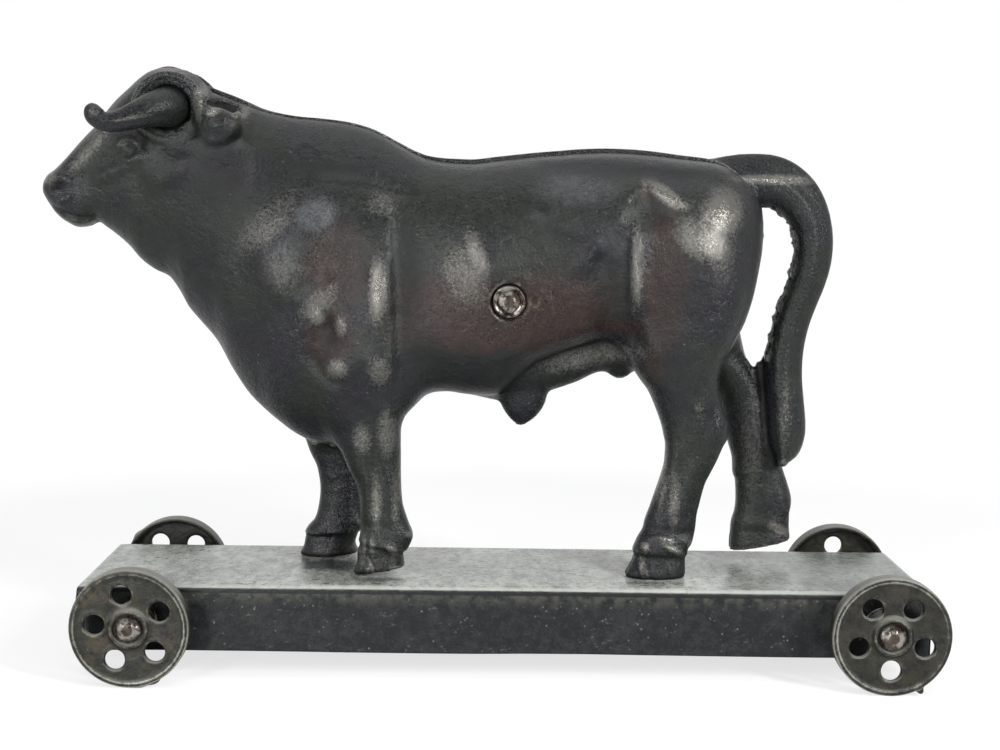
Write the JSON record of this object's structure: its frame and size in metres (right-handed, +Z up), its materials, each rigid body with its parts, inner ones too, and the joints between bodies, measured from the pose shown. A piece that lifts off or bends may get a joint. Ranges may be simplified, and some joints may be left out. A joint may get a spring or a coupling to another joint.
{
  "type": "windmill weight",
  "caption": "Cast-iron standing bull in two riveted hollow halves, fixed on a folded sheet deck that runs on dished cast wheels.",
  "frame": {"origin": "on the floor under the middle of the object's bounding box", "axes": "+X from the nose towards the tail, +Y towards the far side, +Z up"},
  "size_m": [0.3643, 0.1196, 0.2425],
  "materials": {
    "bull_iron": "satin bronzed black with worn brown patches",
    "horn_iron": "satin black",
    "wheel_iron": "dull grey-green with rust bloom",
    "deck_sheet": "worn, streaked, dark on the skirts",
    "bare_steel": "hammered, brown and shiny"
  },
  "bodies": {
    "bull_and_deck": {"bull_near_half": "bull_iron", "bull_far_half": "bull_iron", "near_horn": "horn_iron", "far_horn": "horn_iron", "tie_rivet": "bare_steel", "near_collar": "bare_steel", "far_collar": "bare_steel", "deck": "deck_sheet", "front_axle": "bare_steel", "rear_axle": "bare_steel", "washer_front_near": "bare_steel", "washer_front_far": "bare_steel", "washer_rear_near": "bare_steel", "washer_rear_far": "bare_steel", "hind_hoof_screw": "bare_steel", "front_hoof_screw": "bare_steel", "hind_hoof_washer": "bare_steel", "front_hoof_washer": "bare_steel"},
    "front_near_wheel": {"wheel_front_near": "wheel_iron"},
    "front_far_wheel": {"wheel_front_far": "wheel_iron"},
    "rear_near_wheel": {"wheel_rear_near": "wheel_iron"},
    "rear_far_wheel": {"wheel_rear_far": "wheel_iron"}
  },
  "joints": [
    {"name": "front_near_roll", "type": "hinge", "parent": "bull_and_deck", "child": "front_near_wheel", "pos_m": [-0.13735, -0.0525, 0.0235], "axis": [0, 1, 0], "continuous": true},
    {"name": "front_far_roll", "type": "hinge", "parent": "bull_and_deck", "child": "front_far_wheel", "pos_m": [-0.13735, 0.0525, 0.0235], "axis": [0, 1, 0], "continuous": true},
    {"name": "rear_near_roll", "type": "hinge", "parent": "bull_and_deck", "child": "rear_near_wheel", "pos_m": [0.15865, -0.0525, 0.0235], "axis": [0, 1, 0], "continuous": true},
    {"name": "rear_far_roll", "type": "hinge", "parent": "bull_and_deck", "child": "rear_far_wheel", "pos_m": [0.15865, 0.0525, 0.0235], "axis": [0, 1, 0], "continuous": true}
  ]
}
